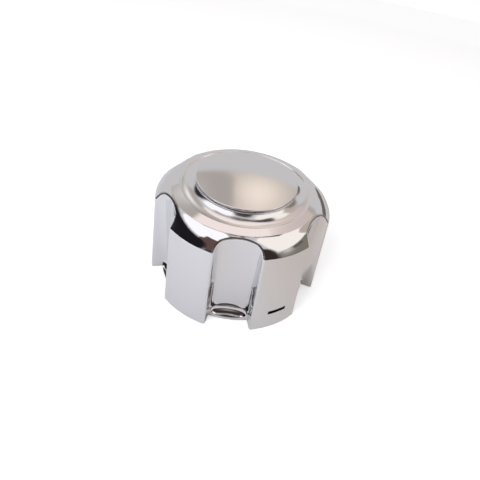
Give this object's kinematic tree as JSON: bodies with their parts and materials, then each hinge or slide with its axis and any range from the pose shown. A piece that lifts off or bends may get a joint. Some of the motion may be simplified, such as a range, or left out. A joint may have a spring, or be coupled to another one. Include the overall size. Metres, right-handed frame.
{
  "type": "wheel center cap",
  "caption": "Tall chrome wheel center cap with flared lobes, arch-topped lug-nut flutes, a stepped round top with a raised domed disc, a pry slot and snap fingers inside.",
  "frame": {"origin": "on the cap's axis, in the plane of the lobes' feet that sits on the wheel", "axes": "+Z along the cap's axis, up and away from the wheel; -Y through the middle of one flute"},
  "size_m": [0.14, 0.1352, 0.0875],
  "materials": {
    "chrome_plating": "bright chrome plating on a plastic moulding",
    "spring_steel": "drawn spring wire"
  },
  "bodies": {
    "root": {"cap_body": "chrome_plating", "retaining_ring": "spring_steel"}
  },
  "joints": []
}
